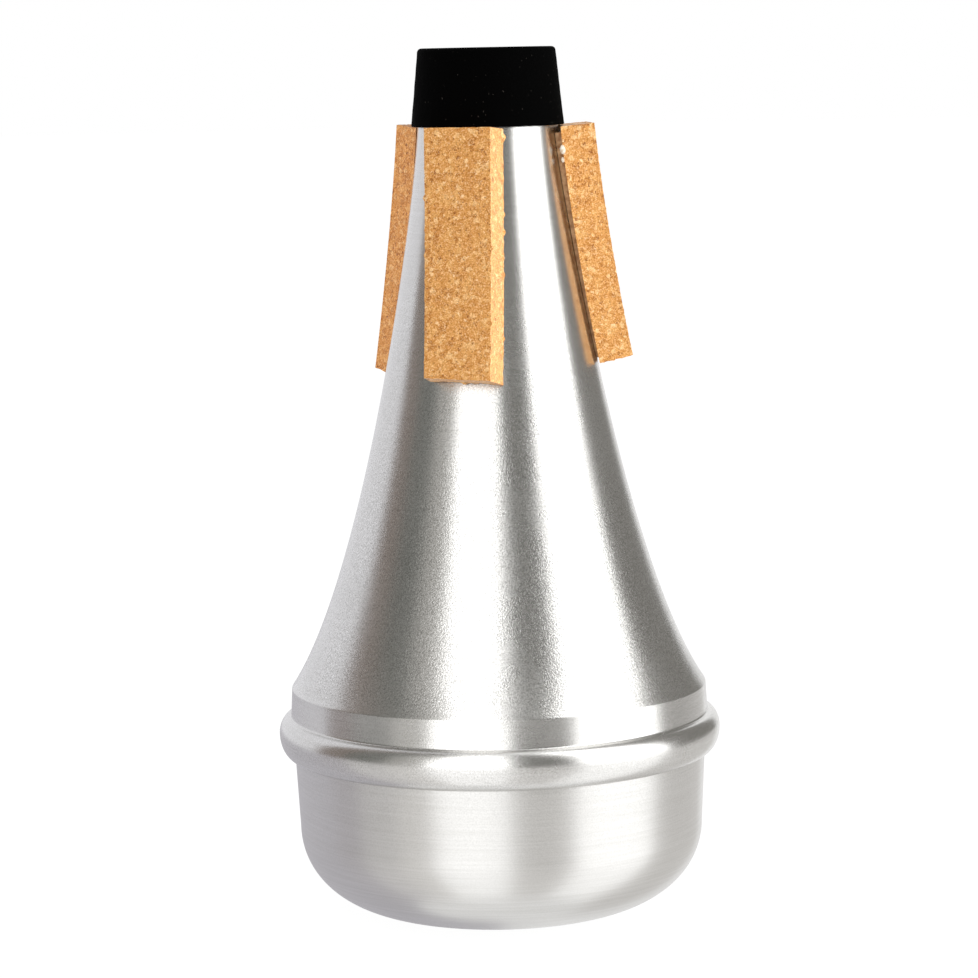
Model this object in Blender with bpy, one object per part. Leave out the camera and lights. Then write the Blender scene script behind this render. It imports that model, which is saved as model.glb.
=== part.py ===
"""Straight mute for a trumpet.

A spun aluminium cone, open at its small end, is closed at its wide end by a pressed cup whose
flange is rolled into the cone's hollow bead. A thin black sleeve covers the small end, and three
cork strips are glued down the neck, each on its own bed of contact glue. Metres, Z up, standing
on its flat base. A viewer who looks along +Y sees one cork nearly face on.
"""

import math

import bmesh
import bpy
from mathutils import Vector

# Clearance between neighbouring pieces
GAP = 0.0003

# Sheet and wall thicknesses
CONE_SHEET = 0.0009
CUP_SHEET = 0.0009
SLEEVE_WALL = 0.0009
SLEEVE_LIP = 0.0010

# Heights, stacked from the base up
CUP_CORNER_HEIGHT = 0.0165
SEAM_HEIGHT = 0.0301
BEAD_LOWER_RISE = 0.0044
BEAD_UPPER_RISE = 0.0032
BAND_HEIGHT = 0.0054
CONE_HEIGHT = 0.1063
SLEEVE_LENGTH = 0.0146

# Radii of the metal's outside, and how far each ring stands in from the bead's widest ring
BEAD_RADIUS = 0.0422
LIP_SETBACK = 0.0026
GROOVE_SETBACK = 0.0023
SHOULDER_SETBACK = 0.0026
CUP_FLAT_RADIUS = 0.0188
CUP_WALL_DRAW = 0.0007
NECK_RADIUS = 0.0132

# How the round stretches run
CUP_CORNER_FULLNESS = 2.1
NECK_TAPER = 0.1
FLARE_NECK_SLOPE = 0.081
FLARE_NECK_REACH = 0.0200
FLARE_FOOT_SLOPE = 0.672
FLARE_FOOT_REACH = 0.0212
SLEEVE_EDGE_RADIUS = 0.0008

# Cork strips, in cross-section
CORK_FACE_WIDTH = 0.0124
CORK_SIDE_SPREAD = 0.0007
CORK_THICKNESS = 0.0054
CORK_BACK_RADIUS = 0.0260
CORK_TOP_CLEARANCE = 0.0004

# Glue beds under the corks
GLUE_THICKNESS = 0.00025
GLUE_WIDTH = 0.0110
GLUE_END_MARGIN = 0.0015

# Each strip's place and cut: turn from the viewer's side towards +X, length down the cone,
# lean about its own middle, and how much longer its +across side is than its -across side
STRIPS = {
    "front": {"turn": -15.5, "length": 0.0468, "lean": 1.3, "skew": 0.0005},
    "right": {"turn": 96.0, "length": 0.0449, "lean": 1.2, "skew": 0.0},
    "left": {"turn": -138.0, "length": 0.0480, "lean": 0.7, "skew": 0.0},
}

# Fineness of the faceted solids
TURN_STEPS = 56
FLARE_STEPS = 14
CORNER_STEPS = 9
BEAD_STEPS = 5
EDGE_STEPS = 3
STRIP_STATIONS = 10
BACK_STEPS = 8
WALK_STEPS = 240
SHARP_ANGLE = math.radians(35.0)

# Levels and radii that follow from the sizes above
LIP_RADIUS = BEAD_RADIUS - LIP_SETBACK
GROOVE_RADIUS = BEAD_RADIUS - GROOVE_SETBACK
SHOULDER_RADIUS = BEAD_RADIUS - SHOULDER_SETBACK
BEAD_Z = SEAM_HEIGHT + BEAD_LOWER_RISE
GROOVE_Z = BEAD_Z + BEAD_UPPER_RISE
SHOULDER_Z = GROOVE_Z + BAND_HEIGHT
SLEEVE_Z = SHOULDER_Z + CONE_HEIGHT
TOP_Z = SLEEVE_Z + SLEEVE_LENGTH
NECK_TOP_Z = TOP_Z - SLEEVE_LIP - GAP
NECK_TOP_RADIUS = NECK_RADIUS - NECK_TAPER * (NECK_TOP_Z - SLEEVE_Z)
CUP_WALL_RADIUS = LIP_RADIUS - GAP
CORK_BACK_HEIGHT = GAP + GLUE_THICKNESS + GAP


def clear_scene():
    """Remove every object that the file opened with."""
    for obj in list(bpy.data.objects):
        bpy.data.objects.remove(obj, do_unlink=True)


def make_material(name, colour, roughness, metallic):
    """A plain surface with the piece's colour and gloss."""
    material = bpy.data.materials.new(name)
    material.use_nodes = True
    shader = material.node_tree.nodes["Principled BSDF"]
    shader.inputs["Base Color"].default_value = (*colour, 1.0)
    shader.inputs["Roughness"].default_value = roughness
    shader.inputs["Metallic"].default_value = metallic
    material.diffuse_color = (*colour, 1.0)
    return material


def add_object(name, bm, material):
    """Turn a finished bmesh into a named, smooth-shaded object in the scene."""
    bmesh.ops.recalc_face_normals(bm, faces=bm.faces)
    mesh = bpy.data.meshes.new(name)
    bm.to_mesh(mesh)
    bm.free()
    mesh.shade_smooth()
    mesh.set_sharp_from_angle(angle=SHARP_ANGLE)
    mesh.materials.append(material)
    obj = bpy.data.objects.new(name, mesh)
    bpy.context.scene.collection.objects.link(obj)
    return obj


def superarc(centre, reach, start, end, steps, fullness=2.0):
    """Points (radius, height) on a quarter of a superellipse, angles in degrees.

    The reach holds the two half-axes, and a fullness of 2 gives a plain ellipse.
    """
    power = 2.0 / fullness
    points = []
    for step in range(steps + 1):
        angle = math.radians(start + (end - start) * step / steps)
        cosine = math.cos(angle)
        sine = math.sin(angle)
        across = math.copysign(abs(cosine) ** power, cosine)
        up = math.copysign(abs(sine) ** power, sine)
        points.append(Vector((centre[0] + reach[0] * across, centre[1] + reach[1] * up)))
    return points


def offset(points, distance):
    """The open outline moved by a distance to the left of its direction of travel, mitred."""
    normals = []
    for near, far in zip(points, points[1:]):
        run = (far - near).normalized()
        normals.append(Vector((-run.y, run.x)))
    moved = [points[0] + normals[0] * distance]
    for point, before, after in zip(points[1:], normals, normals[1:]):
        mitre = (before + after).normalized()
        moved.append(point + mitre * distance / mitre.dot(after))
    moved.append(points[-1] + normals[-1] * distance)
    return moved


def flare(steps):
    """The cone's hollow curve from the sleeve's lower edge down to the shoulder."""
    neck = Vector((NECK_RADIUS, SLEEVE_Z))
    foot = Vector((SHOULDER_RADIUS, SHOULDER_Z))
    neck_handle = neck + Vector((FLARE_NECK_SLOPE, -1.0)) * FLARE_NECK_REACH
    foot_handle = foot - Vector((FLARE_FOOT_SLOPE, -1.0)) * FLARE_FOOT_REACH
    points = []
    for step in range(steps + 1):
        t = step / steps
        s = 1.0 - t
        points.append(
            neck * s**3 + neck_handle * 3 * t * s**2 + foot_handle * 3 * t**2 * s + foot * t**3
        )
    return points


def bead_upper():
    """The bead from the groove out to its widest ring."""
    reach = (GROOVE_SETBACK, BEAD_UPPER_RISE)
    return superarc((GROOVE_RADIUS, BEAD_Z), reach, 90.0, 0.0, BEAD_STEPS)


def bead_lower():
    """The bead from its widest ring in to the lip at the seam."""
    reach = (LIP_SETBACK, BEAD_LOWER_RISE)
    return superarc((LIP_RADIUS, BEAD_Z), reach, 0.0, -90.0, BEAD_STEPS)


def cone_profile():
    """Closed outline of the cone, down its outside and back up its inside."""
    outside = [Vector((NECK_TOP_RADIUS, NECK_TOP_Z))]
    outside += flare(FLARE_STEPS)
    outside += bead_upper()
    outside += bead_lower()[1:]
    inside = offset(outside, -CONE_SHEET)
    inside[0].y = NECK_TOP_Z
    inside[-1].x = LIP_RADIUS
    return outside + inside[::-1]


def cup_profile():
    """Open outline of the cup, from the axis up its inside, over the flange and down again."""
    seat = offset(bead_lower(), -(CONE_SHEET + GAP))
    roof = offset(bead_upper(), -(CONE_SHEET + GAP))
    wall_foot = CUP_WALL_RADIUS - CUP_WALL_DRAW
    corner_reach = (wall_foot - CUP_FLAT_RADIUS, CUP_CORNER_HEIGHT)
    outside = [roof[-2], seat[0], seat[len(seat) // 2]]
    outside.append(Vector((CUP_WALL_RADIUS, seat[-1].y)))
    outside.append(Vector((CUP_WALL_RADIUS, SEAM_HEIGHT)))
    outside += superarc(
        (CUP_FLAT_RADIUS, CUP_CORNER_HEIGHT), corner_reach, 0.0, -90.0, CORNER_STEPS, CUP_CORNER_FULLNESS
    )
    outside.append(Vector((0.0, 0.0)))
    inside = offset(outside, -CUP_SHEET)
    return inside[::-1] + outside


def sleeve_profile():
    """Closed outline of the sleeve, whose lip turns in over the neck's rim."""
    mouth = NECK_TOP_RADIUS - CONE_SHEET
    foot = NECK_RADIUS + GAP + SLEEVE_WALL
    shoulder = foot - NECK_TAPER * (SLEEVE_LENGTH - SLEEVE_EDGE_RADIUS)
    edge_centre = (shoulder - SLEEVE_EDGE_RADIUS, TOP_Z - SLEEVE_EDGE_RADIUS)
    edge_reach = (SLEEVE_EDGE_RADIUS, SLEEVE_EDGE_RADIUS)
    outline = [Vector((mouth, TOP_Z))]
    outline += superarc(edge_centre, edge_reach, 90.0, 0.0, EDGE_STEPS)
    outline.append(Vector((foot, SLEEVE_Z)))
    outline.append(Vector((NECK_RADIUS + GAP, SLEEVE_Z)))
    outline.append(Vector((NECK_TOP_RADIUS + GAP, NECK_TOP_Z + GAP)))
    outline.append(Vector((mouth, NECK_TOP_Z + GAP)))
    return outline


def add_turned(name, outline, closed, material):
    """Spin an outline of (radius, height) points once round the Z axis."""
    bm = bmesh.new()
    verts = [bm.verts.new((point.x, 0.0, point.y)) for point in outline]
    edges = [bm.edges.new(pair) for pair in zip(verts, verts[1:])]
    if closed:
        edges.append(bm.edges.new((verts[-1], verts[0])))
    bmesh.ops.spin(
        bm,
        geom=verts + edges,
        cent=(0.0, 0.0, 0.0),
        axis=(0.0, 0.0, 1.0),
        angle=math.tau,
        steps=TURN_STEPS,
        use_merge=True,
    )
    bmesh.ops.remove_doubles(bm, verts=bm.verts, dist=1e-6)
    return add_object(name, bm, material)


def foot_on_cone(path, along):
    """Point and outward normal of the cone's curve at a distance down it from its first point."""
    left = along
    for near, far in zip(path, path[1:]):
        run = far - near
        if left <= run.length:
            break
        left -= run.length
    direction = run.normalized()
    return near + direction * left, Vector((-direction.y, direction.x))


def sagitta(radius, across):
    """How far a circle of this radius drops away from its tangent at a distance across."""
    return radius - math.sqrt(radius * radius - across * across)


def cork_section(_curvature, _shift):
    """Cross-section of a cork strip as (across, height over the metal), once round it."""
    half_face = CORK_FACE_WIDTH / 2
    half_back = half_face + CORK_SIDE_SPREAD
    face_height = CORK_BACK_HEIGHT + CORK_THICKNESS
    section = [(-half_face, face_height), (half_face, face_height)]
    for step in range(BACK_STEPS + 1):
        across = half_back * (1.0 - 2.0 * step / BACK_STEPS)
        section.append((across, CORK_BACK_HEIGHT - sagitta(CORK_BACK_RADIUS, across)))
    return section


def glue_section(curvature, shift):
    """Cross-section of a glue bed: the cork's back above, and metal of this curve radius below.

    The shift is how far the strip's middle has moved off the middle of the metal's curve.
    """
    half = GLUE_WIDTH / 2
    stops = [half * (1.0 - 2.0 * step / BACK_STEPS) for step in range(BACK_STEPS + 1)]
    top = [(-across, CORK_BACK_HEIGHT - GAP - sagitta(CORK_BACK_RADIUS, across)) for across in stops]
    bottom = [(across, GAP - sagitta(curvature, across + shift)) for across in stops]
    return top + bottom


def add_strip(name, strip, section_at, margin, material):
    """Sweep a cross-section down the cone, following its hollow curve."""
    path = flare(WALK_STEPS)
    turn = math.radians(strip["turn"])
    outward = Vector((math.sin(turn), -math.cos(turn), 0.0))
    sideways = Vector((math.cos(turn), math.sin(turn), 0.0))
    length = strip["length"]
    lean = math.tan(math.radians(strip["lean"]))
    first = CORK_TOP_CLEARANCE + margin
    bm = bmesh.new()
    rings = []
    for station in range(STRIP_STATIONS + 1):
        share = station / STRIP_STATIONS
        middle = first + (length - 2 * margin) * share
        shift = (middle - length / 2) * lean
        foot, normal = foot_on_cone(path, middle)
        ring = []
        for across, height in section_at(foot.x / normal.x, shift):
            longer = strip["skew"] * across / CORK_FACE_WIDTH
            foot, normal = foot_on_cone(path, middle + longer * share)
            place = outward * (foot.x + normal.x * height)
            place += sideways * (across + shift)
            place.z = foot.y + normal.y * height
            ring.append(bm.verts.new(place))
        rings.append(ring)
    for ring, below in zip(rings, rings[1:]):
        for index in range(len(ring)):
            before = index - 1
            bm.faces.new((ring[before], ring[index], below[index], below[before]))
    bm.faces.new(rings[0])
    bm.faces.new(rings[-1])
    return add_object(name, bm, material)


def main():
    clear_scene()
    aluminium = make_material("satin_aluminium", (0.78, 0.78, 0.77), 0.32, 1.0)
    cup_metal = make_material("satin_aluminium_cup", (0.80, 0.80, 0.79), 0.30, 1.0)
    black = make_material("black_rubber", (0.012, 0.012, 0.013), 0.85, 0.0)
    cork = make_material("pressed_cork", (0.55, 0.30, 0.12), 0.90, 0.0)
    glue = make_material("contact_glue", (0.42, 0.30, 0.17), 0.50, 0.0)

    add_turned("cone_shell", cone_profile(), True, aluminium)
    add_turned("end_cup", cup_profile(), False, cup_metal)
    add_turned("tip_sleeve", sleeve_profile(), True, black)
    for side, strip in STRIPS.items():
        add_strip(f"cork_{side}", strip, cork_section, 0.0, cork)
        add_strip(f"glue_{side}", strip, glue_section, GLUE_END_MARGIN, glue)


main()
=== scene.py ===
"""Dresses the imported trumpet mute: spun aluminium, cork strips, black sleeve, glue and studio."""

import math
from collections import namedtuple

import bmesh
import bpy
from bpy.props import FloatProperty, FloatVectorProperty, IntProperty, PointerProperty
from bpy.types import NodeSocket, Operator, Panel, PropertyGroup
from mathutils import Matrix, Vector, noise


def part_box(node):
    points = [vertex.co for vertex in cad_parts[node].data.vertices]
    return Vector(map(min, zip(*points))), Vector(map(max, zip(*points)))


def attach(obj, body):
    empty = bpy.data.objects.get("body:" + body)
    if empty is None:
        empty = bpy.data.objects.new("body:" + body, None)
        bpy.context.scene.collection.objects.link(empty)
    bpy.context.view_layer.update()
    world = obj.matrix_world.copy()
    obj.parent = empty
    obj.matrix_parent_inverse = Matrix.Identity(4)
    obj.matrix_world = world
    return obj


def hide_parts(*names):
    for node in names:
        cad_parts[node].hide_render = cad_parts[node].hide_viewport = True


bl_info = {
    "name": "Trumpet mute",
    "version": (1, 0, 0),
    "blender": (4, 5, 0),
    "location": "View3D > Sidebar > Mute",
    "description": "Builds a straight trumpet mute with its finishes and a small photo studio",
    "category": "Add Mesh",
}

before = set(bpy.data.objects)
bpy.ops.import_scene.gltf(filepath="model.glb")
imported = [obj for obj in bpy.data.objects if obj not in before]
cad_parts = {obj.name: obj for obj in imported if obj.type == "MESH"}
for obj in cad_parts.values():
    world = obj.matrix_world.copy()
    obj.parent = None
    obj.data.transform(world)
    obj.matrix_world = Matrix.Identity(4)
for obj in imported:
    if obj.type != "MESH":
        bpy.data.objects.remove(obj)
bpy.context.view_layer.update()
MM = 0.001

CONE_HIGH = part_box("cone_shell")[1]
SLEEVE_LOW, SLEEVE_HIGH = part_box("tip_sleeve")

# The mix node's sockets for two colours and for the colour that comes out
MIX_A, MIX_B, MIX_RESULT = 6, 7, 2

# The grit on the metal changes between these heights, at the crease
CREASE_LOW, CREASE_HIGH = 0.0425, 0.0450

# Points along each part of the turned outlines
FLARE_STEPS = 90
BEAD_STEPS = 18
FLANGE_STEPS = 5
CUP_CORNER_STEPS = 40
CUP_WALL_ROWS = 8

# Fillets at the crease and in the groove, each a radius and its steps; the groove's fillet takes
# up the bead's first points
CREASE_FILLET = (0.35 * MM, 4)
GROOVE_FILLET = (0.45 * MM, 5)
GROOVE_POINTS = 3

# The sleeve: rounding of its top and of its other edges with their steps, rows down it and
# facets round it
SLEEVE_TOP_EDGE = 0.8 * MM
SLEEVE_TOP_STEPS = 8
SLEEVE_SOFT_EDGE = 0.25 * MM
SLEEVE_SOFT_STEPS = 3
SLEEVE_ROWS = 26
SLEEVE_FACETS = 144

# How uneven its outside is: depth and size of the swells, and how far under the neck's radius
# they start
SWELL_DEPTH = 0.05 * MM
SWELL_SIZE = 2.2 * MM
SWELL_INSET = 0.2 * MM

# Sawn cork: size and depth of the granules, depth of torn ones, and how far in an edge reaches
GRANULE_SIZE = 0.85 * MM
GRAIN_DEPTH = 0.09 * MM
TORN_DEPTH = 1.2 * MM
EDGE_REACH = 0.5 * MM

# Finer grains over the granules: their share of the depth, and how many times finer they are
FINE_SHARE = 0.5
FINE_SCALE = 2.2

# Where granules are torn out: a slower noise, taken elsewhere, of which only the lows count
TORN_SCALE = 0.55
TORN_SHIFT = Vector((31.0, 0.0, 0.0))
TORN_BELOW = 0.32

# Share of the granules' depth on the faces, how much is added at the edges, and their wear
FACE_GRAIN = 0.45
EDGE_GRAIN = 0.9
EDGE_WEAR = 0.1 * MM

# Beyond this share of the face's width from the middle, a strip's back bends to the metal
HUG_FROM = 0.36
HUG_SLOPE = 0.12

# Cuts across, through and along a strip and a glue bed, and steps of the curve they follow
CORK_CUTS = (34, 16, 130)
GLUE_CUTS = (16, 2, 40)
STRIP_PATH_STEPS = 240

# What sets one strip's granules apart from the next one's, and how far up grains may stand
STRIP_SEED_STEP = 7.3
STRIP_TOP_LIMIT = 0.1 * MM

# A glue bed: width, how far it stops short of the strip's ends, its height over the metal, and
# the gaps under its top, which leave half a gap below the cork
GLUE_WIDTH = 11.4 * MM
GLUE_SETBACK = 1.0 * MM
GLUE_LIFT = 0.08 * MM
GLUE_GAPS = 1.5

# A blob of glue: how finely its sphere is divided, and the depth and scale of its lumps
BLOB_DIVISIONS = 4
LUMP_DEPTH = 0.35
LUMP_SCALE = 1.9

# Points closer than this are merged, in a spun outline and in every finished piece
SPIN_WELD = 1e-6
PIECE_WELD = 1e-7

Strip = namedtuple("Strip", "turn length lean skew")
Blob = namedtuple("Blob", "name side across along height reach glue")
Lamp = namedtuple("Lamp", "name turn height watts size")

# Turn from the viewer's side towards +X and lean are in degrees. Length is in metres, and so is
# skew, which is how much further down a strip's foot lies on one side than on the other
STRIPS = {
    "front": Strip(-15.5, 0.0468, 1.3, 0.0005),
    "right": Strip(96.0, 0.0449, 1.2, 0.0),
    "left": Strip(-138.0, 0.0480, 0.7, 0.0),
}

# Squeezed-out glue, in millimetres: across and along the strip, up from the metal, and reach
# across, along and up
GLUE_BLOBS = (
    Blob("glue_bead_right", "right", -6.9, 4.2, -0.45, (0.40, 0.85, 0.50), "white"),
    Blob("glue_crumb_right", "right", -6.8, 6.1, -0.55, (0.30, 0.45, 0.35), "white"),
    Blob("glue_smear_front", "front", 2.0, 46.7, 0.75, (0.80, 0.35, 0.50), "amber"),
)

# The camera: place in metres, turn, dip and roll in degrees, and lens and sensor in millimetres
CAMERA_PLACE = (0.0, -0.68084, 0.16626)
CAMERA_TURN = 0.0955
CAMERA_DIP = 7.185
CAMERA_ROLL = -1.151
CAMERA_LENS = 132.53
CAMERA_SENSOR = 36.0

# The floor: radius, facets and height just under the base, how strong its glow is, and how much
# of what the camera sees is glow
FLOOR_RADIUS = 6.0
FLOOR_FACETS = 64
FLOOR_HEIGHT = -0.0003
FLOOR_GLOW = 1.06
FLOOR_GLOW_SHARE = 0.9

# Strength of the white world as a light on matt things, and as the camera and the metal see it
SOFT_WORLD, SEEN_WORLD = 0.6, 1.0

# The panels stand on a drum of this radius, in two rows that meet at the horizon. The upper row
# leans in from a share of its height, to a share of the radius at the top
STUDIO_RADIUS = 1.5
STUDIO_TOP = 2.6
STUDIO_HORIZON = -0.09
STUDIO_FOOT = -3.0
LEAN_FROM = 0.6
LEAN_TO = 0.45
PANEL_STEPS = 24

# Name, first and last turn in degrees, then colour and strength of the upper row and of the
# lower row, which stands for the sheen of a glossy table
PANELS = (
    ("card_back_left", -180.0, -107.0, ("#F0F0F4", 1.0), ("#C6C4CA", 1.0)),
    ("flag_left", -107.0, -86.0, ("#8E837C", 1.0), ("#C6C3C8", 1.0)),
    ("flag_front_left", -86.0, -60.0, ("#7A7B77", 1.0), ("#E2E0E0", 1.0)),
    ("card_front_left", -60.0, -38.0, ("#BCBAB6", 1.0), ("#F0EEEC", 1.0)),
    ("softbox_front", -38.0, 5.5, ("#FFFFFF", 2.1), ("#FFFFFF", 1.35)),
    ("flag_front_right", 5.5, 41.0, ("#7B7A76", 1.0), ("#EAE8E6", 1.0)),
    ("softbox_right", 41.0, 95.0, ("#FFFFFF", 2.5), ("#FFFFFF", 1.4)),
    ("flag_back_right", 95.0, 152.0, ("#8A8884", 1.0), ("#E0DEDC", 1.0)),
)

# Lamps that light the matt pieces only, and the height on the mute's axis that they point at
LAMPS = (
    Lamp("lamp_right", 99.0, 0.30, 9.5, 0.5),
    Lamp("lamp_left", -112.0, 0.30, 2.2, 0.6),
)
LAMP_AIM_HEIGHT = 0.12


# Colours and nodes

def linear(hex_colour):
    """An sRGB hex colour as the linear red, green, blue and alpha that shaders take."""
    channels = [int(hex_colour[start:start + 2], 16) / 255 for start in (1, 3, 5)]
    toned = [c / 12.92 if c <= 0.04045 else ((c + 0.055) / 1.055) ** 2.4 for c in channels]
    return (*toned, 1.0)


def add_node(owner, kind, inputs=None, **settings):
    """One node of a material or the world.

    Settings are the node's properties. Inputs feed its sockets, each with a value or with the
    output of another node.
    """
    tree = owner.node_tree
    node = tree.nodes.new(kind)
    for name, value in settings.items():
        setattr(node, name, value)
    for name, value in (inputs or {}).items():
        if isinstance(value, NodeSocket):
            tree.links.new(value, node.inputs[name])
        else:
            node.inputs[name].default_value = value
    return node


def new_material(name):
    """An empty node material."""
    material = bpy.data.materials.new(name)
    material.use_nodes = True
    material.node_tree.nodes.clear()
    return material


def object_place(material):
    """The object coordinates that textures are placed by."""
    return add_node(material, "ShaderNodeTexCoord").outputs["Object"]


def add_noise(material, place, size, detail, roughness=0.5):
    """A noise texture with features of a size in metres."""
    inputs = {"Vector": place, "Scale": 1 / size, "Detail": detail, "Roughness": roughness}
    return add_node(material, "ShaderNodeTexNoise", inputs)


def add_ramp(material, factor, *stops):
    """A colour ramp's colour. Each stop is a place and a colour, in hex or linear already."""
    ramp = add_node(material, "ShaderNodeValToRGB", {"Fac": factor})
    elements = ramp.color_ramp.elements
    elements.remove(elements[-1])
    for order, (place, colour) in enumerate(stops):
        element = elements.new(place) if order else elements[0]
        element.position = place
        element.color = linear(colour) if isinstance(colour, str) else colour
    return ramp.outputs["Color"]


def map_range(owner, value, first, last):
    """The value carried from one range to another, each end a pair of what goes in and comes out."""
    inputs = {
        "Value": value,
        "From Min": first[0], "From Max": last[0],
        "To Min": first[1], "To Max": last[1],
    }
    return add_node(owner, "ShaderNodeMapRange", inputs).outputs["Result"]


def combine(owner, operation, first, second):
    """Two numbers put together by a math node."""
    inputs = {0: first, 1: second}
    return add_node(owner, "ShaderNodeMath", inputs, operation=operation).outputs["Value"]


def mix_colours(material, factor, first, second, blend_type="MIX"):
    """Two colours mixed by a factor."""
    inputs = {"Factor": factor, MIX_A: first, MIX_B: second}
    mixed = add_node(
        material, "ShaderNodeMix", inputs, data_type="RGBA", blend_type=blend_type,
    )
    return mixed.outputs[MIX_RESULT]


def add_bump(material, height, distance, strength, below=None):
    """The normal of a bump that stands up to a distance in metres, over another one or none."""
    inputs = {"Height": height, "Distance": distance, "Strength": strength}
    if below:
        inputs["Normal"] = below
    return add_node(material, "ShaderNodeBump", inputs).outputs["Normal"]


def seen_directly(owner):
    """One for rays from the camera, off gloss or through glass, and nothing for the rest."""
    path = add_node(owner, "ShaderNodeLightPath").outputs
    seen = combine(owner, "MAXIMUM", path["Is Camera Ray"], path["Is Glossy Ray"])
    return combine(owner, "MAXIMUM", seen, path["Is Transmission Ray"])


def principled(material, inputs):
    """Ends a material with one principled shader."""
    shader = add_node(material, "ShaderNodeBsdfPrincipled", inputs)
    add_node(material, "ShaderNodeOutputMaterial", {"Surface": shader.outputs["BSDF"]})
    return material


# Finishes

def satin_aluminium(name, roughness, faded_at, full_at, rolled_share, ring_strength):
    """Spun aluminium, blasted with fine glass: a soft sheen drawn out along the axis.

    The lathe's rings spread each reflection up and down, and the blasting leaves a grit that
    glints where a light's edge falls. faded_at and full_at each give a height and how strong
    the grit is there. Below the crease only rolled_share of it is left.
    """
    material = new_material(name)
    place = object_place(material)
    height = add_node(material, "ShaderNodeSeparateXYZ", {"Vector": place}).outputs["Z"]
    grit = add_noise(material, place, 0.27 * MM, 1.0, 0.7).outputs["Fac"]
    fading = map_range(material, height, faded_at, full_at)
    rolled = map_range(material, height, (CREASE_LOW, rolled_share), (CREASE_HIGH, 1.0))
    grit_share = combine(material, "MULTIPLY", fading, rolled)
    drawn_round = add_node(
        material, "ShaderNodeMapping", {"Vector": place, "Scale": (0.02, 0.02, 1.0)},
    ).outputs["Vector"]
    ring_lines = add_noise(material, drawn_round, 0.40 * MM, 3.0, 0.6).outputs["Fac"]
    handling = add_noise(material, place, 16 * MM, 3.0, 0.55).outputs["Fac"]
    lines = add_ramp(material, ring_lines, (0.30, "#D6D5D2"), (0.70, "#E0DFDD"))
    glints = add_ramp(
        material, grit,
        (0.30, "#8E8D8A"), (0.48, "#CFCECB"), (0.62, "#E9E8E6"), (0.74, "#FFFFFF"),
    )
    rings = add_bump(material, ring_lines, 0.03 * MM, ring_strength)
    round_axis = add_node(material, "ShaderNodeTangent", direction_type="RADIAL", axis="Z")
    return principled(material, {
        "Base Color": mix_colours(material, grit_share, lines, glints),
        "Metallic": 1.0,
        "Roughness": map_range(
            material, handling, (0.3, roughness - 0.02), (0.7, roughness + 0.03),
        ),
        "Anisotropic": 0.55,
        "Anisotropic Rotation": 0.25,
        "Normal": add_bump(material, grit, 0.045 * MM, grit_share, rings),
        "Tangent": round_axis.outputs["Tangent"],
    })


def pressed_cork(name, painted_shade):
    """Agglomerated cork, sawn into strips: tan granules under a millimetre across, with pale
    chips, dark bark flecks and dark pits between them, and a dry, dusty surface.
    """
    material = new_material(name)
    place = object_place(material)
    wander = add_noise(material, place, 0.5 * MM, 1.0).outputs["Color"]
    strayed = add_node(
        material, "ShaderNodeVectorMath", {0: wander, 1: (0.5 * MM,) * 3, 2: place},
        operation="MULTIPLY_ADD",
    ).outputs["Vector"]
    granules = add_node(
        material, "ShaderNodeTexVoronoi",
        {"Vector": strayed, "Scale": 1 / (0.75 * MM), "Randomness": 1.0},
    )
    split = add_node(
        material, "ShaderNodeSeparateColor", {"Color": granules.outputs["Color"]},
    )
    granule_tone = add_ramp(
        material, split.outputs["Red"],
        (0.0, "#98561F"), (0.14, "#BC7935"), (0.50, "#D08F48"), (0.86, "#E0A963"), (1.0, "#F6D39E"),
    )
    mottle = add_noise(material, place, 0.28 * MM, 2.0, 0.7).outputs["Fac"]
    mottle_tone = add_ramp(
        material, mottle,
        (0.30, "#74400F"), (0.42, "#BD7C3A"), (0.54, "#DAA05A"), (0.67, "#FBDAA8"),
    )
    chips = add_noise(material, strayed, 0.62 * MM, 2.0, 0.6).outputs["Fac"]
    pit_share = map_range(material, chips, (0.37, 0.0), (0.31, 0.85))
    pale_share = map_range(material, chips, (0.62, 0.0), (0.70, 0.6))
    tone = mix_colours(material, 0.55, granule_tone, mottle_tone)
    tone = mix_colours(material, pale_share, tone, linear("#FBE0B4"))
    tone = mix_colours(material, pit_share, tone, linear("#8A4A1C"))
    height = combine(material, "SUBTRACT", mottle, pit_share)
    return principled(material, {
        # The painted shade multiplies the cork's colour, for how much light falls on this strip
        "Base Color": mix_colours(material, 1.0, tone, painted_shade, "MULTIPLY"),
        "Roughness": 0.9,
        "Specular IOR Level": 0.2,
        "Sheen Weight": 0.25,
        "Sheen Roughness": 0.5,
        "Normal": add_bump(material, height, 0.12 * MM, 0.7),
    })


def black_rubber(name, colour):
    """Soft black rubber, moulded and matt: no shine to speak of, with dust specks on it."""
    material = new_material(name)
    place = object_place(material)
    dust = add_noise(material, place, 0.45 * MM, 1.0).outputs["Fac"]
    skin = add_noise(material, place, 0.25 * MM, 2.0).outputs["Fac"]
    return principled(material, {
        "Base Color": add_ramp(
            material, dust, (0.0, "#010101"), (0.75, colour), (0.80, "#3A3632"),
        ),
        "Roughness": 0.95,
        "Specular IOR Level": 0.03,
        "Normal": add_bump(material, skin, 0.06 * MM, 0.25),
    })


def contact_glue(name, dark, pale):
    """Dried contact cement: a rubbery film, clouded between a darker and a paler tone."""
    material = new_material(name)
    cloud = add_noise(material, object_place(material), 0.9 * MM, 3.0).outputs["Fac"]
    return principled(material, {
        "Base Color": add_ramp(material, cloud, (0.35, dark), (0.65, pale)),
        "Roughness": 0.42,
        "Normal": add_bump(material, cloud, 0.1 * MM, 0.4),
    })


# Sizes and colours

def length_property(name, description, default):
    """A property for a length in metres."""
    return FloatProperty(name=name, description=description, default=default, unit="LENGTH")


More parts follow.
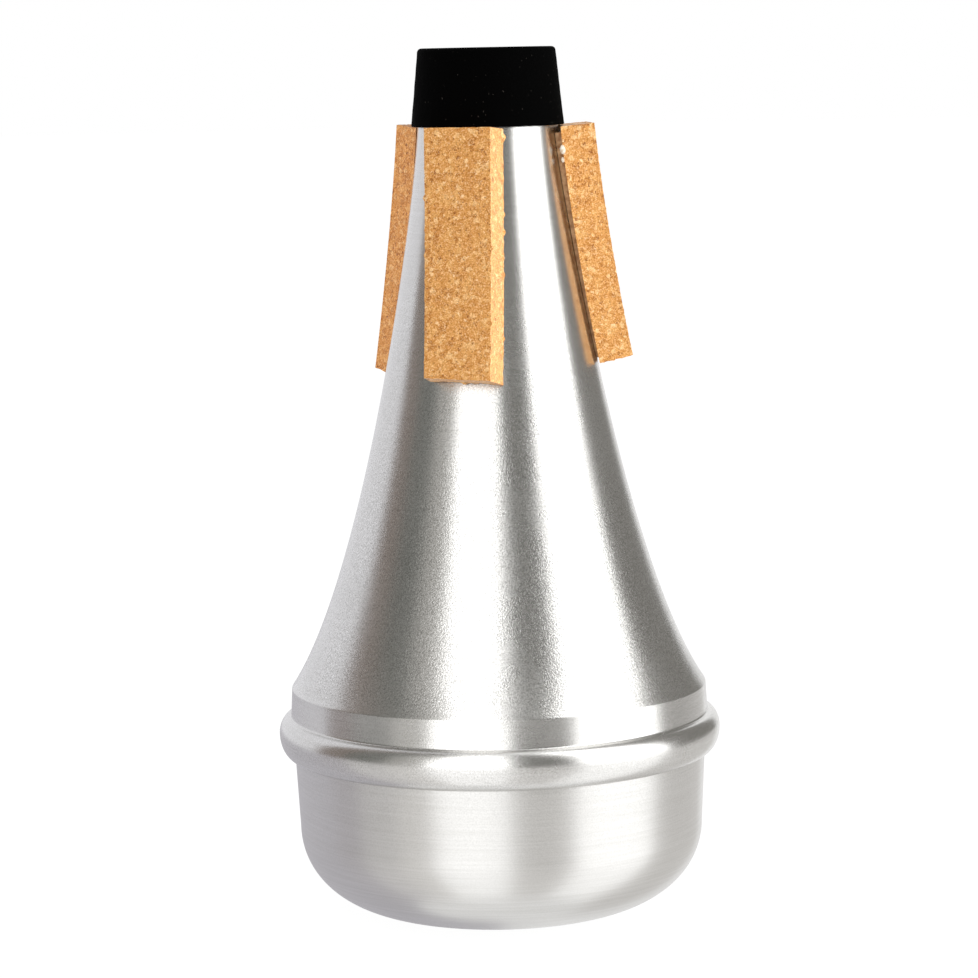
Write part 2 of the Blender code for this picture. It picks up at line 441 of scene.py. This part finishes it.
def colour_property(name, description, hex_colour):
    """A property for a colour, given in sRGB hex and kept linear."""
    return FloatVectorProperty(
        name=name, description=description, default=linear(hex_colour), subtype="COLOR",
        size=4, min=0.0, max=1.0,
    )


class MuteSizes(PropertyGroup):
    """Real sizes of the mute's pieces, as the solids have them."""

    gap: length_property("Clearance", "Gap between neighbours", 0.0003)
    sheet: length_property("Sheet", "Thickness of the metal", 0.0009)
    corner_z: length_property("Cup corner", "Height of the cup's rounded corner", 0.0165)
    seam_z: length_property("Seam", "Height of the seam under the bead", 0.0301)
    bead_z: length_property("Bead", "Height of the bead's widest ring", 0.0345)
    groove_z: length_property("Groove", "Height of the groove over the bead", 0.0377)
    shoulder_z: length_property("Shoulder", "Height of the crease at the cone's foot", 0.0431)
    sleeve_z: length_property("Sleeve edge", "Height of the sleeve's lower edge", SLEEVE_LOW[2])
    top_z: length_property("Top", "Overall height", SLEEVE_HIGH[2])
    flat_radius: length_property("Base flat", "Radius of the flat base", 0.0188)
    wall_draw: length_property("Cup draw", "How much the cup's wall narrows downwards", 0.0007)
    lip_radius: length_property("Lip", "Radius of the bead's lower lip", 0.0396)
    bead_radius: length_property("Bead radius", "Widest radius", CONE_HIGH[0])
    groove_radius: length_property("Groove radius", "Radius over the bead", 0.0399)
    shoulder_radius: length_property("Shoulder radius", "Radius at the crease", 0.0396)
    neck_radius: length_property("Neck", "Radius of the metal at the sleeve's edge", 0.0132)
    neck_taper: FloatProperty(
        name="Neck taper", description="Radius lost for each unit up the neck", default=0.1,
    )
    neck_slope: FloatProperty(
        name="Flare start", description="Slope where the flare leaves the neck", default=0.081,
    )
    neck_reach: length_property("Flare start reach", "How far that slope carries", 0.0200)
    foot_slope: FloatProperty(
        name="Flare end", description="Slope where the flare meets the crease", default=0.672,
    )
    foot_reach: length_property("Flare end reach", "How far that slope carries", 0.0212)
    fullness: FloatProperty(
        name="Corner fullness", description="How square the cup's corner is", default=2.1,
    )
    sleeve_wall: length_property("Sleeve wall", "Thickness of the sleeve", 0.0009)
    sleeve_lip: length_property("Sleeve lip", "Thickness of the lip over the rim", 0.0010)
    cork_face: length_property("Cork width", "Width of a strip's face", 0.0124)
    cork_spread: length_property("Cork spread", "How much wider its back is, a side", 0.0007)
    cork_thickness: length_property("Cork thickness", "Thickness at the middle", 0.0054)
    cork_back_radius: length_property("Cork back", "Radius of its hollow back", 0.0260)
    cork_clearance: length_property("Cork top", "Gap under the sleeve", 0.0004)
    glue_thickness: length_property("Glue", "Thickness of the glue at the middle", 0.00025)
    turn_steps: IntProperty(
        name="Facets", description="Facets round the turned pieces", default=288, min=16,
    )


class MuteColours(PropertyGroup):
    """Colours of the corks, the sleeve and the glue."""

    # The three cork colours are painted shade: each strip's cork colour is multiplied by its own
    # one, which stands in for the light that strip gets. The left strip's is a little darker and
    # warmer
    cork_front: colour_property("Front cork", "Colour laid over the front strip", "#FFFFFF")
    cork_right: colour_property("Right cork", "Colour laid over the right strip", "#FFFFFF")
    cork_left: colour_property("Left cork", "Colour laid over the left strip", "#FFF2E4")
    rubber: colour_property("Rubber", "Colour of the sleeve", "#020202")
    glue_dark: colour_property("Glue, dark", "Darker tone of the glue", "#96683F")
    glue_pale: colour_property("Glue, pale", "Paler tone of the glue", "#C39A6E")
    whitened_dark: colour_property("White glue, dark", "Its darker tone", "#C9B294")
    whitened_pale: colour_property("White glue, pale", "Its paler tone", "#F6F0E4")


# Outlines, as points of radius and height

def superarc(centre, reach, start, end, steps, fullness=2.0):
    """A quarter of a superellipse, angles in degrees; a fullness of 2 is a plain ellipse."""
    power = 2.0 / fullness
    points = []
    for step in range(steps + 1):
        angle = math.radians(start + (end - start) * step / steps)
        across = math.copysign(abs(math.cos(angle)) ** power, math.cos(angle))
        up = math.copysign(abs(math.sin(angle)) ** power, math.sin(angle))
        points.append(Vector((centre[0] + reach[0] * across, centre[1] + reach[1] * up)))
    return points


def offset(points, distance):
    """The open outline moved by a distance to the left of its direction of travel, mitred."""
    normals = []
    for near, far in zip(points, points[1:]):
        run = (far - near).normalized()
        normals.append(Vector((-run.y, run.x)))
    moved = [points[0] + normals[0] * distance]
    for point, before, after in zip(points[1:], normals, normals[1:]):
        mitre = (before + after).normalized()
        moved.append(point + mitre * distance / mitre.dot(after))
    moved.append(points[-1] + normals[-1] * distance)
    return moved


def round_corner(before, corner, after, radius, steps):
    """Points of a fillet that eases the corner between two runs."""
    back = (before - corner).normalized()
    ahead = (after - corner).normalized()
    reach = radius / math.tan(back.angle(ahead) / 2)
    start = corner + back * reach
    end = corner + ahead * reach
    points = []
    for step in range(steps + 1):
        t = step / steps
        points.append(start * (1 - t) ** 2 + corner * 2 * t * (1 - t) + end * t ** 2)
    return points


def flare(sizes, steps):
    """The cone's hollow curve from the sleeve's lower edge down to the shoulder."""
    neck = Vector((sizes.neck_radius, sizes.sleeve_z))
    foot = Vector((sizes.shoulder_radius, sizes.shoulder_z))
    neck_handle = neck + Vector((sizes.neck_slope, -1.0)) * sizes.neck_reach
    foot_handle = foot - Vector((sizes.foot_slope, -1.0)) * sizes.foot_reach
    points = []
    for step in range(steps + 1):
        t = step / steps
        s = 1.0 - t
        upper_part = neck * s ** 3 + neck_handle * 3 * t * s ** 2
        points.append(upper_part + foot_handle * 3 * t ** 2 * s + foot * t ** 3)
    return points


def neck_top(sizes):
    """Radius and height of the metal's rim under the sleeve's lip."""
    height = sizes.top_z - sizes.sleeve_lip - sizes.gap
    return Vector((sizes.neck_radius - sizes.neck_taper * (height - sizes.sleeve_z), height))


def bead_upper(sizes, steps):
    """The bead from the groove out to its widest ring."""
    reach = (sizes.bead_radius - sizes.groove_radius, sizes.groove_z - sizes.bead_z)
    return superarc((sizes.groove_radius, sizes.bead_z), reach, 90.0, 0.0, steps)


def bead_lower(sizes, steps):
    """The bead from its widest ring in to the lip at the seam."""
    reach = (sizes.bead_radius - sizes.lip_radius, sizes.bead_z - sizes.seam_z)
    return superarc((sizes.lip_radius, sizes.bead_z), reach, 0.0, -90.0, steps)


# Meshes

def add_object(name, bm, material):
    """An object in the scene from a finished bmesh and one material."""
    mesh = bpy.data.meshes.new(name)
    bm.to_mesh(mesh)
    bm.free()
    mesh.materials.append(material)
    made = bpy.data.objects.new(name, mesh)
    bpy.context.scene.collection.objects.link(made)
    return made


def finish_piece(name, bm, material, node=None, sharp_degrees=35.0):
    """Turns a finished bmesh into a shaded object that rides on the mute's one body."""
    bmesh.ops.remove_doubles(bm, verts=bm.verts, dist=PIECE_WELD)
    bmesh.ops.recalc_face_normals(bm, faces=bm.faces)
    piece = add_object(name, bm, material)
    piece.data.shade_smooth()
    piece.data.set_sharp_from_angle(angle=math.radians(sharp_degrees))
    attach(piece, "root")
    if node:
        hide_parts(node)


def spin_outline(outline, closed, steps):
    """A bmesh of an outline spun once round the Z axis."""
    bm = bmesh.new()
    verts = [bm.verts.new((point.x, 0.0, point.y)) for point in outline]
    edges = [bm.edges.new(pair) for pair in zip(verts, verts[1:])]
    if closed:
        edges.append(bm.edges.new((verts[-1], verts[0])))
    bmesh.ops.spin(
        bm, geom=verts + edges, cent=(0, 0, 0), axis=(0, 0, 1), angle=math.tau, steps=steps,
        use_merge=True,
    )
    bmesh.ops.remove_doubles(bm, verts=bm.verts, dist=SPIN_WELD)
    return bm


def strip_grid(cuts):
    """A unit cube cut into a fine grid, to be bent into a strip."""
    bm = bmesh.new()
    bmesh.ops.create_cube(bm, size=1.0)
    for axis, count in enumerate(cuts):
        run = [
            edge for edge in bm.edges
            if abs(edge.verts[0].co[axis] - edge.verts[1].co[axis]) > 0.5
        ]
        bmesh.ops.subdivide_edges(bm, edges=run, cuts=count, use_grid_fill=True)
    return bm


# Where the strips lie on the cone, and how sawn cork crumbles

def foot_on_cone(path, along):
    """Point and outward normal of the cone's curve at a distance down from its first point."""
    left = along
    for near, far in zip(path, path[1:]):
        run = far - near
        if left <= run.length:
            break
        left -= run.length
    direction = run.normalized()
    return near + direction * left, Vector((-direction.y, direction.x))


def sagitta(radius, across):
    """How far a circle drops away from its tangent at a distance across."""
    return radius - math.sqrt(radius * radius - across * across)


def lean_shift(strip, along):
    """How far a strip's lean carries it sideways here, from none at half its length."""
    return (along - strip.length / 2) * math.tan(math.radians(strip.lean))


def strip_place(sizes, path, strip, across, along, height):
    """World place of a point of a strip: across it, down it and over the metal."""
    angle = math.radians(strip.turn)
    outward = Vector((math.sin(angle), -math.cos(angle), 0.0))
    sideways = Vector((math.cos(angle), math.sin(angle), 0.0))
    share = along / strip.length
    distance = sizes.cork_clearance + along + strip.skew * across / sizes.cork_face * share
    foot, normal = foot_on_cone(path, max(distance, 0.0))
    side_step = across + lean_shift(strip, along)
    place = outward * (foot.x + normal.x * height) + sideways * side_step
    place.z = foot.y + normal.y * height
    return place


def crumble(point, seed):
    """How far sawn cork stands in or out here, in metres: granules, and the odd one torn out."""
    here = point / GRANULE_SIZE + Vector((seed, seed * 2.0, 0.0))
    grain = noise.noise(here) + FINE_SHARE * noise.noise(here * FINE_SCALE)
    torn = min(0.0, noise.noise(here * TORN_SCALE + TORN_SHIFT) + TORN_BELOW)
    return grain * GRAIN_DEPTH, torn * TORN_DEPTH


def nearness(share, size):
    """One at a face of the strip, and nothing further in than an edge reaches."""
    return max(0.0, 1.0 - (0.5 - abs(share)) * size / EDGE_REACH)


# Pieces

class MUTE_OT_cone(Operator):
    """Spin the aluminium cone, with its crease, band and hollow bead."""

    bl_idname = "mute.cone"
    bl_label = "Cone"

    def execute(self, context):
        sizes = context.scene.mute_sizes
        rim = neck_top(sizes)
        curve = flare(sizes, FLARE_STEPS)
        upper = bead_upper(sizes, BEAD_STEPS)
        shoulder = Vector((sizes.shoulder_radius, sizes.shoulder_z))
        outside = [rim] + curve[:-1]
        outside += round_corner(curve[-2], shoulder, upper[0], *CREASE_FILLET)
        outside += round_corner(shoulder, upper[0], upper[GROOVE_POINTS], *GROOVE_FILLET)
        outside += upper[GROOVE_POINTS + 1:]
        outside += bead_lower(sizes, BEAD_STEPS)[1:]
        inside = offset(outside, -sizes.sheet)
        inside[0].y = rim.y
        inside[-1].x = sizes.lip_radius
        bm = spin_outline(outside + inside[::-1], True, sizes.turn_steps)
        metal = satin_aluminium(
            "satin_spun_aluminium", roughness=0.265, faded_at=(0.135, 0.10),
            full_at=(0.080, 0.6), rolled_share=0.4, ring_strength=0.12,
        )
        finish_piece("cone_skin", bm, metal, "cone_shell", sharp_degrees=50.0)
        return {"FINISHED"}


class MUTE_OT_cup(Operator):
    """Press the aluminium cup that closes the wide end, with its flange inside the bead."""

    bl_idname = "mute.cup"
    bl_label = "Cup"

    def execute(self, context):
        sizes = context.scene.mute_sizes
        seat = offset(bead_lower(sizes, FLANGE_STEPS), -(sizes.sheet + sizes.gap))
        roof = offset(bead_upper(sizes, FLANGE_STEPS), -(sizes.sheet + sizes.gap))
        wall = sizes.lip_radius - sizes.gap
        corner = superarc(
            (sizes.flat_radius, sizes.corner_z),
            (wall - sizes.wall_draw - sizes.flat_radius, sizes.corner_z),
            0.0, -90.0, CUP_CORNER_STEPS, sizes.fullness,
        )
        outside = [roof[-2], seat[0], seat[len(seat) // 2], Vector((wall, seat[-1].y))]
        top = Vector((wall, sizes.seam_z))
        outside += [top.lerp(corner[0], row / CUP_WALL_ROWS) for row in range(CUP_WALL_ROWS)]
        outside += corner
        outside.append(Vector((0.0, 0.0)))
        inside = offset(outside, -sizes.sheet)
        bm = spin_outline(inside[::-1] + outside, False, sizes.turn_steps)
        metal = satin_aluminium(
            "satin_pressed_aluminium", roughness=0.30, faded_at=(0.010, 0.06),
            full_at=(0.036, 0.22), rolled_share=1.0, ring_strength=0.06,
        )
        finish_piece("cup_skin", bm, metal, "end_cup", sharp_degrees=50.0)
        return {"FINISHED"}


class MUTE_OT_sleeve(Operator):
    """Mould the black sleeve over the small end, a little uneven as soft rubber is."""

    bl_idname = "mute.sleeve"
    bl_label = "Sleeve"

    def execute(self, context):
        sizes = context.scene.mute_sizes
        rim = neck_top(sizes)
        mouth = rim.x - sizes.sheet
        foot = sizes.neck_radius + sizes.gap + sizes.sleeve_wall
        edge = SLEEVE_TOP_EDGE
        soft = SLEEVE_SOFT_EDGE
        shoulder = foot - sizes.neck_taper * (sizes.top_z - sizes.sleeve_z - edge)
        outer_top = Vector((shoulder, sizes.top_z - edge))
        outer_foot = Vector((foot, sizes.sleeve_z))
        outline = [Vector((mouth, sizes.top_z - soft))]
        outline += superarc(
            (mouth + soft, sizes.top_z - soft), (soft, soft), 180.0, 90.0, SLEEVE_SOFT_STEPS,
        )[1:]
        outline += superarc(
            (shoulder - edge, sizes.top_z - edge), (edge, edge), 90.0, 0.0, SLEEVE_TOP_STEPS,
        )
        outline += [outer_top.lerp(outer_foot, row / SLEEVE_ROWS) for row in range(1, SLEEVE_ROWS)]
        outline.append(outer_foot + Vector((0.0, soft)))
        outline += superarc(
            (foot - soft, sizes.sleeve_z + soft), (soft, soft), 0.0, -90.0, SLEEVE_SOFT_STEPS,
        )[1:]
        outline.append(Vector((sizes.neck_radius + sizes.gap, sizes.sleeve_z)))
        outline.append(Vector((rim.x + sizes.gap, rim.y + sizes.gap)))
        outline.append(Vector((mouth, rim.y + sizes.gap)))
        bm = spin_outline(outline, True, SLEEVE_FACETS)
        for vert in bm.verts:
            out = Vector((vert.co.x, vert.co.y, 0.0))
            if out.length > sizes.neck_radius - SWELL_INSET:
                swell = noise.noise(vert.co / SWELL_SIZE) * SWELL_DEPTH
                vert.co += out.normalized() * swell
        rubber = black_rubber("moulded_black_rubber", context.scene.mute_colours.rubber)
        finish_piece("sleeve_skin", bm, rubber, "tip_sleeve")
        return {"FINISHED"}


class MUTE_OT_corks(Operator):
    """Saw the cork strips and bend them down the cone, with crumbly edges."""

    bl_idname = "mute.corks"
    bl_label = "Cork strips"

    def execute(self, context):
        sizes = context.scene.mute_sizes
        path = flare(sizes, STRIP_PATH_STEPS)
        back_height = 2 * sizes.gap + sizes.glue_thickness
        for order, (side, strip) in enumerate(STRIPS.items()):
            bm = strip_grid(CORK_CUTS)
            for vert in bm.verts:
                u, v, w = vert.co
                half = sizes.cork_face / 2 + sizes.cork_spread * (0.5 - v)
                across = 2 * u * half
                along = (0.5 - w) * strip.length
                back = back_height - sagitta(sizes.cork_back_radius, across)
                back -= max(0.0, abs(across) - sizes.cork_face * HUG_FROM) * HUG_SLOPE
                face = back_height + sizes.cork_thickness
                height = back + (face - back) * (v + 0.5)
                sides = nearness(u, sizes.cork_face)
                faces = nearness(v, sizes.cork_thickness)
                ends = nearness(w, strip.length)
                edge = min(1.0, max(0.0, sides + faces + ends - 1.0))
                point = Vector((across, height, along))
                grain, torn = crumble(point, STRIP_SEED_STEP * order)
                push = grain * (FACE_GRAIN + EDGE_GRAIN * edge) + (torn - EDGE_WEAR) * edge
                if sides > 0.0:
                    across += math.copysign(push, u)
                if faces > 0.0 and v > 0.0:
                    height += push
                if ends > 0.0:
                    along -= math.copysign(push, w)
                along = max(along, -STRIP_TOP_LIMIT)
                vert.co = strip_place(sizes, path, strip, across, along, height)
            # Each strip takes its own painted shade colour, for the light it gets
            painted_shade = getattr(context.scene.mute_colours, f"cork_{side}")
            cork = pressed_cork(f"pressed_granule_cork_{side}", painted_shade)
            finish_piece(
                f"cork_strip_{side}", bm, cork, f"cork_{side}", sharp_degrees=60.0,
            )
        return {"FINISHED"}


class MUTE_OT_glue(Operator):
    """Spread the glue beds, and add what squeezed out from under two strips."""

    bl_idname = "mute.glue"
    bl_label = "Glue"

    def execute(self, context):
        sizes = context.scene.mute_sizes
        colours = context.scene.mute_colours
        path = flare(sizes, STRIP_PATH_STEPS)
        glues = {
            "amber": contact_glue("dried_contact_cement", colours.glue_dark, colours.glue_pale),
            "white": contact_glue(
                "whitened_contact_cement", colours.whitened_dark, colours.whitened_pale,
            ),
        }
        for side, strip in STRIPS.items():
            length = strip.length - 2 * GLUE_SETBACK
            bm = strip_grid(GLUE_CUTS)
            for vert in bm.verts:
                u, v, w = vert.co
                across = u * GLUE_WIDTH
                along = (0.5 - w) * length + GLUE_SETBACK
                foot, normal = foot_on_cone(path, sizes.cork_clearance + along)
                metal_drop = sagitta(foot.x / normal.x, across + lean_shift(strip, along))
                bottom = GLUE_LIFT - metal_drop
                top = GLUE_GAPS * sizes.gap + sizes.glue_thickness
                top -= sagitta(sizes.cork_back_radius, across)
                height = bottom + (top - bottom) * (v + 0.5)
                vert.co = strip_place(sizes, path, strip, across, along, height)
            finish_piece(f"glue_bed_{side}", bm, glues["amber"], f"glue_{side}")
        for blob in GLUE_BLOBS:
            bm = bmesh.new()
            bmesh.ops.create_icosphere(bm, subdivisions=BLOB_DIVISIONS, radius=1.0)
            shift = Vector((blob.along, 0.0, 0.0))
            for vert in bm.verts:
                lump = 1.0 + LUMP_DEPTH * noise.noise(vert.co * LUMP_SCALE + shift)
                local = vert.co * lump
                vert.co = strip_place(
                    sizes, path, STRIPS[blob.side],
                    (blob.across + local.x * blob.reach[0]) * MM,
                    (blob.along + local.y * blob.reach[1]) * MM,
                    (blob.height + local.z * blob.reach[2]) * MM,
                )
            finish_piece(blob.name, bm, glues[blob.glue])
        return {"FINISHED"}


# Studio

def glow_material(name, hex_colour, strength):
    """A card or softbox face that shines evenly."""
    material = new_material(name)
    glow = add_node(
        material, "ShaderNodeEmission", {"Color": linear(hex_colour), "Strength": strength},
    )
    add_node(material, "ShaderNodeOutputMaterial", {"Surface": glow.outputs["Emission"]})
    return material


def floor_material():
    """Matt white acrylic that keeps a faint shadow and meets the white surround."""
    material = new_material("white_acrylic_floor")
    share = combine(material, "MULTIPLY", seen_directly(material), FLOOR_GLOW_SHARE)
    matt = add_node(material, "ShaderNodeBsdfDiffuse", {"Color": linear("#F4F4F4")})
    glow = add_node(
        material, "ShaderNodeEmission", {"Color": linear("#FFFFFF"), "Strength": FLOOR_GLOW},
    )
    both = add_node(
        material, "ShaderNodeMixShader",
        {0: share, 1: matt.outputs["BSDF"], 2: glow.outputs["Emission"]},
    )
    add_node(material, "ShaderNodeOutputMaterial", {"Surface": both.outputs["Shader"]})
    return material


def add_camera(scene):
    """The camera where the photo was taken from."""
    camera_data = bpy.data.cameras.new("camera")
    camera_data.sensor_width = CAMERA_SENSOR
    camera_data.lens = CAMERA_LENS
    camera = bpy.data.objects.new("camera", camera_data)
    scene.collection.objects.link(camera)
    turn = Matrix.Rotation(math.radians(CAMERA_TURN), 4, "Z")
    tilt = Matrix.Rotation(math.radians(90.0 - CAMERA_DIP), 4, "X")
    roll = Matrix.Rotation(math.radians(CAMERA_ROLL), 4, "Z")
    camera.matrix_world = Matrix.Translation(CAMERA_PLACE) @ turn @ tilt @ roll
    scene.camera = camera


def add_floor():
    """A wide round floor that the metal doesn't reflect."""
    bm = bmesh.new()
    bmesh.ops.create_circle(bm, cap_ends=True, radius=FLOOR_RADIUS, segments=FLOOR_FACETS)
    bmesh.ops.translate(bm, verts=bm.verts, vec=(0.0, 0.0, FLOOR_HEIGHT))
    floor = add_object("floor", bm, floor_material())
    floor.visible_glossy = False


def add_panel(name, first, last, outline, hex_colour, strength):
    """A curved panel that the metal reflects and the camera doesn't see.

    The outline's points are each a share of the drum's radius and a height.
    """
    bm = bmesh.new()
    turn = Matrix.Rotation(math.radians(first), 4, "Z")
    verts = []
    for share, height in outline:
        place = turn @ Vector((0.0, -STUDIO_RADIUS * share, 0.0))
        verts.append(bm.verts.new((place.x, place.y, height)))
    edges = [bm.edges.new(pair) for pair in zip(verts, verts[1:])]
    bmesh.ops.spin(
        bm, geom=verts + edges, cent=(0, 0, 0), axis=(0, 0, 1), angle=math.radians(last - first),
        steps=PANEL_STEPS, use_merge=False,
    )
    panel = add_object(name, bm, glow_material(name, hex_colour, strength))
    panel.visible_camera = False


def add_lamp(scene, lamp):
    """An area lamp that points at the mute and isn't reflected in the metal."""
    light = bpy.data.lights.new(lamp.name, "AREA")
    light.energy = lamp.watts
    light.size = lamp.size
    made = bpy.data.objects.new(lamp.name, light)
    angle = math.radians(lamp.turn)
    made.location = (math.sin(angle), -math.cos(angle), lamp.height)
    aim = Vector((0.0, 0.0, LAMP_AIM_HEIGHT)) - made.location
    made.rotation_euler = aim.to_track_quat("-Z", "Y").to_euler()
    made.visible_glossy = False
    scene.collection.objects.link(made)


def add_surround(scene):
    """A white world for what the camera and the metal see, and a softer light for the rest."""
    world = bpy.data.worlds.new("white_surround")
    world.use_nodes = True
    world.node_tree.nodes.clear()
    scene.world = world
    strength = map_range(world, seen_directly(world), (0.0, SOFT_WORLD), (1.0, SEEN_WORLD))
    background = add_node(
        world, "ShaderNodeBackground", {"Color": linear("#FFFFFF"), "Strength": strength},
    )
    add_node(world, "ShaderNodeOutputWorld", {"Surface": background.outputs["Background"]})


class MUTE_OT_stage(Operator):
    """Set the camera, the pale floor, the soft panels, the lamps and the white surround."""

    bl_idname = "mute.stage"
    bl_label = "Studio"

    def execute(self, context):
        scene = context.scene
        scene.view_settings.view_transform = "Standard"
        add_camera(scene)
        add_floor()
        low = (1.0, STUDIO_FOOT), (1.0, STUDIO_HORIZON)
        high = (1.0, STUDIO_HORIZON), (1.0, STUDIO_TOP * LEAN_FROM), (LEAN_TO, STUDIO_TOP)
        for name, first, last, upper_glow, lower_glow in PANELS:
            add_panel(name, first, last, high, *upper_glow)
            add_panel(name + "_sheen", first, last, low, *lower_glow)
        for lamp in LAMPS:
            add_lamp(scene, lamp)
        add_surround(scene)
        return {"FINISHED"}


class MUTE_PT_panel(Panel):
    """Sizes and colours of the mute and the buttons that build it."""

    bl_label = "Trumpet mute"
    bl_idname = "MUTE_PT_panel"
    bl_space_type = "VIEW_3D"
    bl_region_type = "UI"
    bl_category = "Mute"

    def draw(self, context):
        for group in (context.scene.mute_sizes, context.scene.mute_colours):
            for name in type(group).__annotations__:
                self.layout.prop(group, name)
        for operator in OPERATORS:
            self.layout.operator(operator.bl_idname)


OPERATORS = (MUTE_OT_stage, MUTE_OT_cone, MUTE_OT_cup, MUTE_OT_sleeve, MUTE_OT_corks, MUTE_OT_glue)
CLASSES = (MuteSizes, MuteColours, *OPERATORS, MUTE_PT_panel)


def register():
    """Makes the classes, the sizes and the colours known."""
    for cls in CLASSES:
        bpy.utils.register_class(cls)
    bpy.types.Scene.mute_sizes = PointerProperty(type=MuteSizes)
    bpy.types.Scene.mute_colours = PointerProperty(type=MuteColours)


def unregister():
    """Takes them away again."""
    del bpy.types.Scene.mute_colours
    del bpy.types.Scene.mute_sizes
    for cls in reversed(CLASSES):
        bpy.utils.unregister_class(cls)


def main():
    """Builds the stage and the mute."""
    register()
    bpy.ops.mute.stage()
    bpy.ops.mute.cone()
    bpy.ops.mute.cup()
    bpy.ops.mute.sleeve()
    bpy.ops.mute.corks()
    bpy.ops.mute.glue()
    bpy.context.view_layer.update()


if __name__ == "__main__":
    main()
